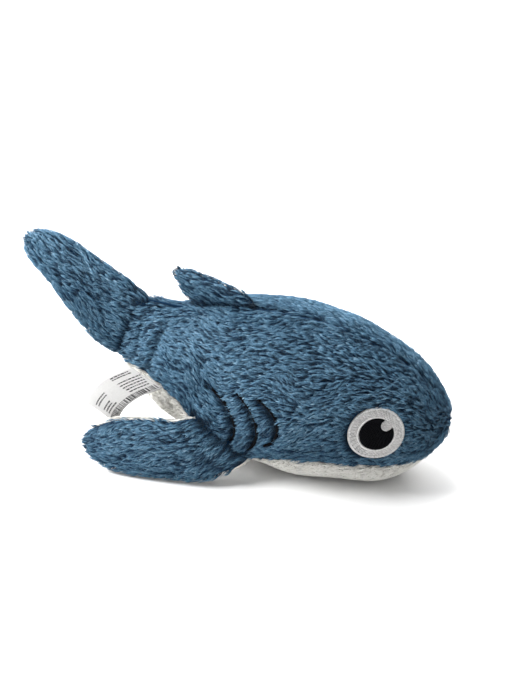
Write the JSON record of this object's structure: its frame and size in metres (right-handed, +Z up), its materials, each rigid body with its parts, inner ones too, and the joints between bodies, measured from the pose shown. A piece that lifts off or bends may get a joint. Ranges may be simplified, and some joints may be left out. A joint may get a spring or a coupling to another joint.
{
  "type": "plush shark",
  "caption": "Stuffed long-pile shark toy lying on its belly, with soft pectoral, dorsal and tail fins, embroidered eyes and gills, and a care label.",
  "frame": {"origin": "on the flat that the belly rests on, under the chest", "axes": "+X towards the snout, +Y the shark's left, +Z up from the surface it lies on"},
  "size_m": [0.2666, 0.1275, 0.1485],
  "materials": {
    "blue_pile": "long soft pile",
    "white_pile": "short soft pile",
    "fibre_fill": "loose polyester fibre",
    "white_embroidery": "satin stitch",
    "black_embroidery": "satin stitch",
    "seam_thread": "twisted thread",
    "label_satin": "smooth woven ribbon"
  },
  "bodies": {
    "root": {"right_side_panel": "blue_pile", "left_side_panel": "blue_pile", "belly_panel": "white_pile", "body_stuffing": "fibre_fill", "eye_white_right": "white_embroidery", "eye_white_left": "white_embroidery", "eye_pupil_right": "black_embroidery", "eye_pupil_left": "black_embroidery", "gill_stitches_right": "black_embroidery", "gill_stitches_left": "black_embroidery", "back_seam_thread": "seam_thread", "belly_seam_thread_right": "seam_thread", "belly_seam_thread_left": "seam_thread"},
    "tail": {"tail_panel_right": "blue_pile", "tail_panel_left": "blue_pile", "tail_stuffing": "fibre_fill"},
    "dorsal_fin": {"dorsal_fin_panel_right": "blue_pile", "dorsal_fin_panel_left": "blue_pile", "dorsal_fin_stuffing": "fibre_fill"},
    "pectoral_fin_right": {"pectoral_fin_right_outer_panel": "blue_pile", "pectoral_fin_right_under_panel": "white_pile", "pectoral_fin_right_stuffing": "fibre_fill"},
    "pectoral_fin_left": {"pectoral_fin_left_outer_panel": "blue_pile", "pectoral_fin_left_under_panel": "white_pile", "pectoral_fin_left_stuffing": "fibre_fill"},
    "care_label": {"care_label_front": "label_satin", "care_label_back": "label_satin"}
  },
  "joints": [
    {"name": "pectoral_fin_right_flap", "type": "hinge", "parent": "root", "child": "pectoral_fin_right", "pos_m": [-0.0405, -0.037, 0.029], "axis": [-0.7071, 0, 0.7071], "range_deg": [0, 60], "stiffness_Nm_per_rad": 0.02},
    {"name": "pectoral_fin_left_flap", "type": "hinge", "parent": "root", "child": "pectoral_fin_left", "pos_m": [-0.0405, 0.044, 0.04328], "axis": [0.7071, 0.2418, -0.6645], "range_deg": [-10, 50], "stiffness_Nm_per_rad": 0.02},
    {"name": "dorsal_fin_bend", "type": "hinge", "parent": "root", "child": "dorsal_fin", "pos_m": [-0.0475, -0.00969, 0.11095], "axis": [1, 0, 0], "range_deg": [-28, 28], "stiffness_Nm_per_rad": 0.01},
    {"name": "tail_swish", "type": "hinge", "parent": "root", "child": "tail", "pos_m": [-0.1056, -0.00517, 0.08535], "axis": [0.4384, -0.1561, 0.8851], "range_deg": [-18, 18], "stiffness_Nm_per_rad": 0.15},
    {"name": "care_label_flap", "type": "hinge", "parent": "root", "child": "care_label", "pos_m": [-0.0895, -0.031, 0.0635], "axis": [0.8916, -0.1244, -0.4354], "range_deg": [-3, 20], "stiffness_Nm_per_rad": 0.001}
  ]
}
